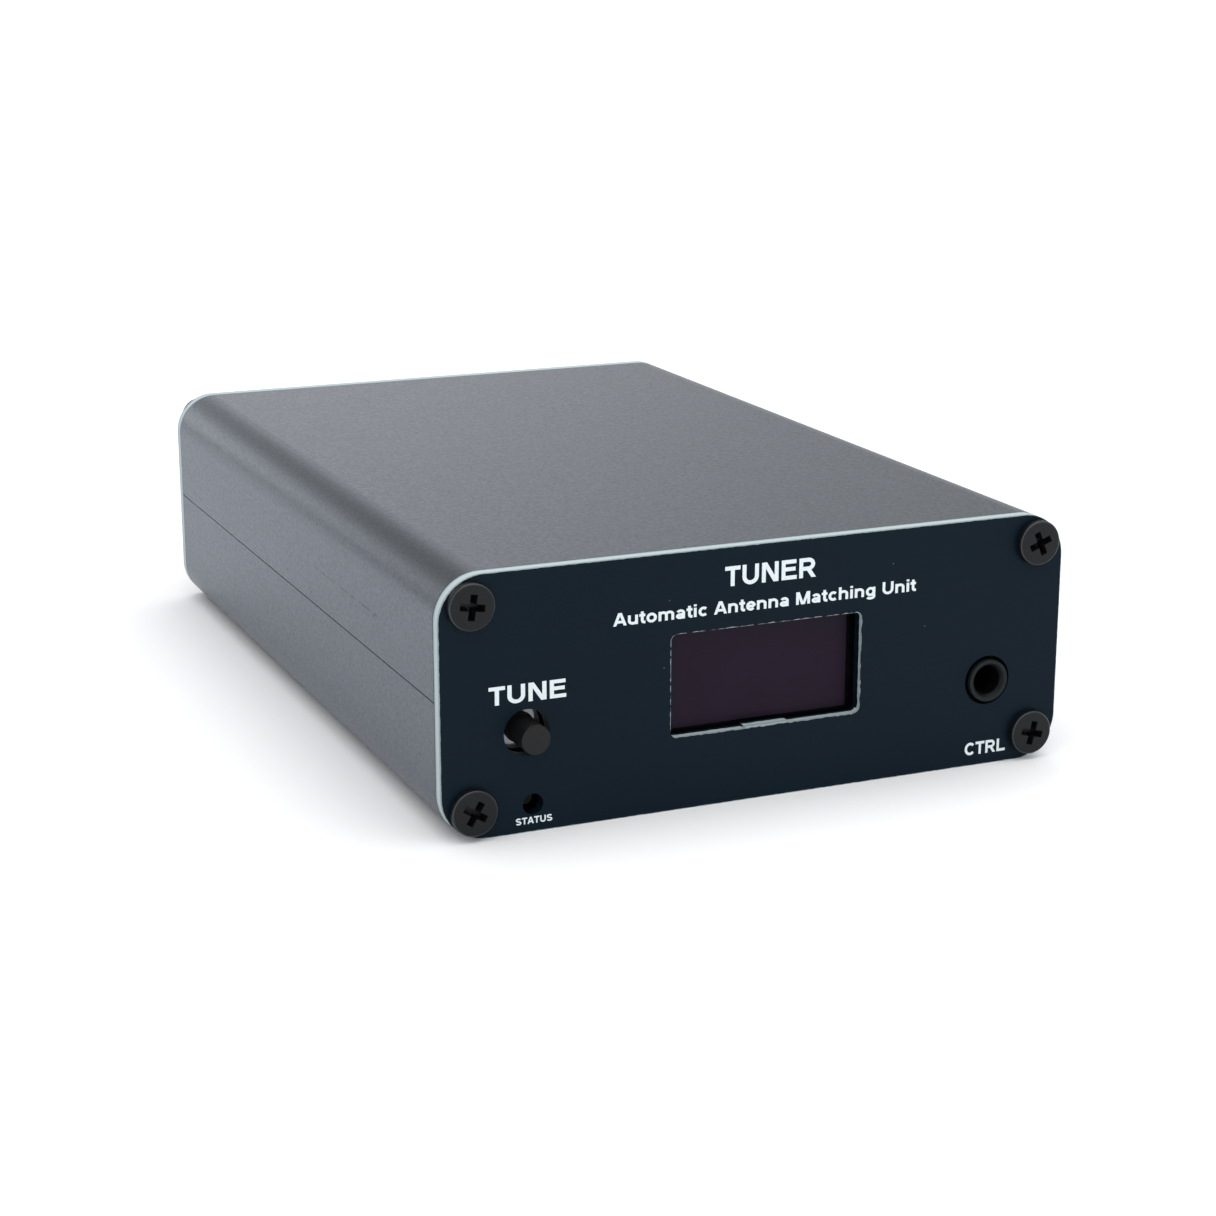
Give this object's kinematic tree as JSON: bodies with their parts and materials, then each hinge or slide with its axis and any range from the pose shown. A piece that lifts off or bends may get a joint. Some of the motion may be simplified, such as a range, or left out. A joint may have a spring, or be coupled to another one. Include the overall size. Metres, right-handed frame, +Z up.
{
  "type": "antenna tuner",
  "caption": "Small desktop automatic antenna tuner: flat split aluminium case, black end panels, display window, tune button and control jack in front, coaxial sockets behind.",
  "frame": {"origin": "middle of the base, at the centre of the overall length from the button's tip to the sockets' ends", "axes": "+X to the right of the front panel, +Y to the back where the sockets are, +Z up"},
  "size_m": [0.08, 0.133, 0.0308],
  "materials": {
    "anodised_case": "fine-blasted dark grey anodised extrusion",
    "panel_board": "black solder mask over fibreglass, raw routed edges",
    "black_screw": "black oxide on steel",
    "display_film": "dark purple polariser film",
    "display_glass": "black-backed display glass",
    "circuit_board": "solder-masked fibreglass",
    "black_plastic": "moulded",
    "spring_metal": "tinned spring metal",
    "status_lens": "smoke-tinted moulded lens",
    "nickel_plate": "nickel plate",
    "white_insulator": "turned white fluoroplastic",
    "gold_plate": "gold flash",
    "brass": "turned and knurled",
    "copper": "tinned copper",
    "cell_wrap": "shrink sleeve over steel",
    "chip_resin": "moulded epoxy",
    "ferrite": "fired ferrite",
    "chip_ceramic": "fired ceramic",
    "relay_case": "moulded",
    "wound_core": "enamelled copper on an iron-powder ring"
  },
  "bodies": {
    "case": {"top_shell": "anodised_case", "bottom_shell": "anodised_case", "front_panel": "panel_board", "rear_panel": "panel_board", "panel_screws": "black_screw", "display_film": "display_film", "display_glass": "display_glass", "main_board": "circuit_board", "display_board": "circuit_board", "tune_switch_base": "black_plastic", "control_jack_body": "black_plastic", "charge_socket_tongue": "black_plastic", "battery_holder": "black_plastic", "display_header": "black_plastic", "tune_switch_cover": "spring_metal", "tune_switch_dome": "spring_metal", "control_jack_springs": "spring_metal", "battery_contacts": "spring_metal", "status_light": "status_lens", "antenna_socket_shell": "nickel_plate", "radio_socket_shell": "nickel_plate", "socket_nuts": "nickel_plate", "socket_washers": "nickel_plate", "charge_socket_shell": "nickel_plate", "ground_stud": "nickel_plate", "ground_fixing_nut": "nickel_plate", "antenna_socket_insulator": "white_insulator", "radio_socket_insulator": "white_insulator", "antenna_socket_contact": "gold_plate", "radio_socket_contact": "gold_plate", "solder_leads": "copper", "battery_cell": "cell_wrap", "controller_chip": "chip_resin", "sensing_transformers": "ferrite", "tuning_capacitors": "chip_ceramic", "swap_relay": "relay_case", "coil_relay_1": "relay_case", "coil_relay_2": "relay_case", "coil_relay_3": "relay_case", "coil_relay_4": "relay_case", "coil_relay_5": "relay_case", "coil_relay_6": "relay_case", "coil_relay_7": "relay_case", "capacitor_relay_1": "relay_case", "capacitor_relay_2": "relay_case", "capacitor_relay_3": "relay_case", "capacitor_relay_4": "relay_case", "capacitor_relay_5": "relay_case", "capacitor_relay_6": "relay_case", "capacitor_relay_7": "relay_case", "coil_1": "wound_core", "coil_2": "wound_core", "coil_3": "wound_core", "coil_4": "wound_core", "coil_5": "wound_core", "coil_6": "wound_core", "coil_7": "wound_core"},
    "button": {"tune_button": "black_plastic"},
    "clamp_washer": {"ground_clamp_washer": "nickel_plate"},
    "thumb_nut": {"ground_thumb_nut": "brass"}
  },
  "joints": [
    {"name": "tune_press", "type": "slide", "parent": "case", "child": "button", "axis": [0, 1, 0], "range_m": [0, 0.00025], "stiffness_N_per_m": 4400, "springref_m": -0.00011, "deforming": ["tune_switch_dome"]},
    {"name": "washer_slide", "type": "slide", "parent": "case", "child": "clamp_washer", "axis": [0, 1, 0], "range_m": [0, 0.0049]},
    {"name": "nut_turn", "type": "hinge", "parent": "clamp_washer", "child": "thumb_nut", "pos_m": [0.009, 0.0545, 0.0205], "axis": [0, 1, 0], "range_deg": [0, 2520]}
  ],
  "couplings": [
    {"joint": "nut_turn", "follows": "washer_slide", "rad_per_m": 8975.9}
  ]
}
